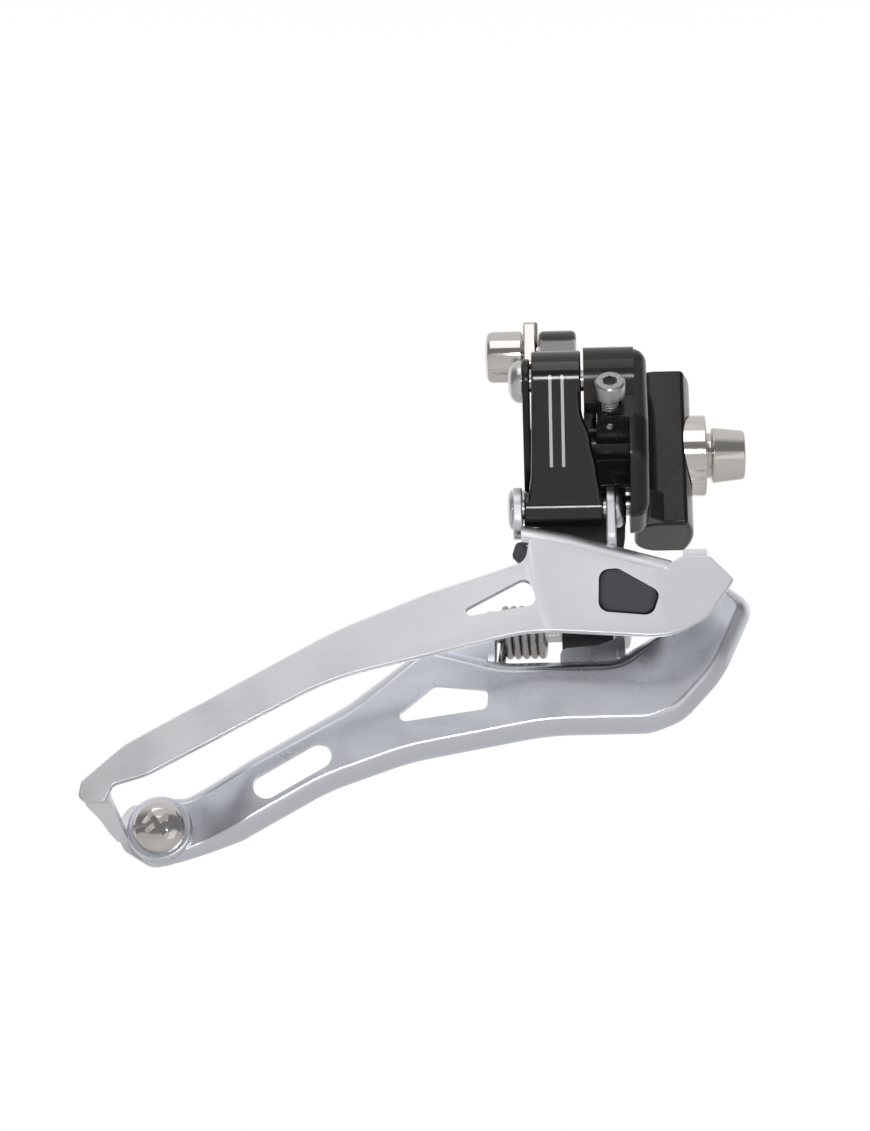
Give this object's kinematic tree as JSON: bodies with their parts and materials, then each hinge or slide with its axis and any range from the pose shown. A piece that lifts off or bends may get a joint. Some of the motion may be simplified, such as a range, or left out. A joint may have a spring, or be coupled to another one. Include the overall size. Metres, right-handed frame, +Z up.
{
  "type": "front derailleur",
  "caption": "Bicycle front derailleur: saddle-mounted black casting, two parallel links and a silver two-plate chain cage that swings outward against a spring.",
  "frame": {"origin": "on the mounting bolt's axis, at the crown of the casting's convex saddle face", "axes": "+X forward along the mounting bolt, +Y inward towards the bicycle's centre plane, +Z up"},
  "size_m": [0.098, 0.034, 0.0824],
  "materials": {
    "black_paint": "gloss",
    "black_gloss": "gloss",
    "black_satin": "satin",
    "bright_chrome": "gloss",
    "zinc_steel": "satin",
    "rivet_steel": "satin",
    "bush_bronze": "satin",
    "outer_plate_silver": "satin",
    "inner_plate_silver": "satin",
    "grey_plastic": "matte",
    "spring_steel": "satin"
  },
  "bodies": {
    "casting": {"body_casting": "black_paint", "mounting_bolt": "bright_chrome", "saddle_washer": "bright_chrome", "outer_limit_screw": "zinc_steel", "inner_limit_screw": "zinc_steel", "upper_outer_pivot_pin": "rivet_steel", "upper_inner_pivot_pin": "rivet_steel"},
    "outer_arm": {"outer_link": "black_gloss", "cable_anchor_bolt": "bright_chrome", "cable_clamp_washer": "bright_chrome", "upper_outer_bush": "bush_bronze", "lower_outer_bush": "bush_bronze"},
    "inner_arm": {"inner_link": "black_satin", "upper_inner_bush": "bush_bronze", "lower_inner_bush": "bush_bronze"},
    "cage": {"outer_cage_plate": "outer_plate_silver", "inner_cage_plate": "inner_plate_silver", "lower_outer_pivot_pin": "rivet_steel", "lower_inner_pivot_pin": "rivet_steel", "cage_tail_screw": "bright_chrome", "tail_nut": "zinc_steel", "bridge_rivet": "rivet_steel", "chain_pad": "grey_plastic", "liner_hook": "grey_plastic", "return_spring": "spring_steel"}
  },
  "joints": [
    {"name": "shift_swing", "type": "hinge", "parent": "casting", "child": "outer_arm", "pos_m": [-0.0204, -0.0185, 0.0046], "axis": [-1, 0, 0], "range_deg": [0, 40], "stiffness_Nm_per_rad": 0.9, "springref_deg": -11.46},
    {"name": "inner_swing", "type": "hinge", "parent": "casting", "child": "inner_arm", "pos_m": [-0.0171, -0.004, -0.0096], "axis": [-1, 0, 0], "range_deg": [0, 40]},
    {"name": "cage_level", "type": "hinge", "parent": "outer_arm", "child": "cage", "pos_m": [-0.0196, -0.01138, -0.01302], "axis": [-1, 0, 0], "range_deg": [-40, 0]}
  ],
  "couplings": [
    {"joint": "inner_swing", "follows": "shift_swing", "ratio": 1},
    {"joint": "cage_level", "follows": "shift_swing", "ratio": -1}
  ]
}
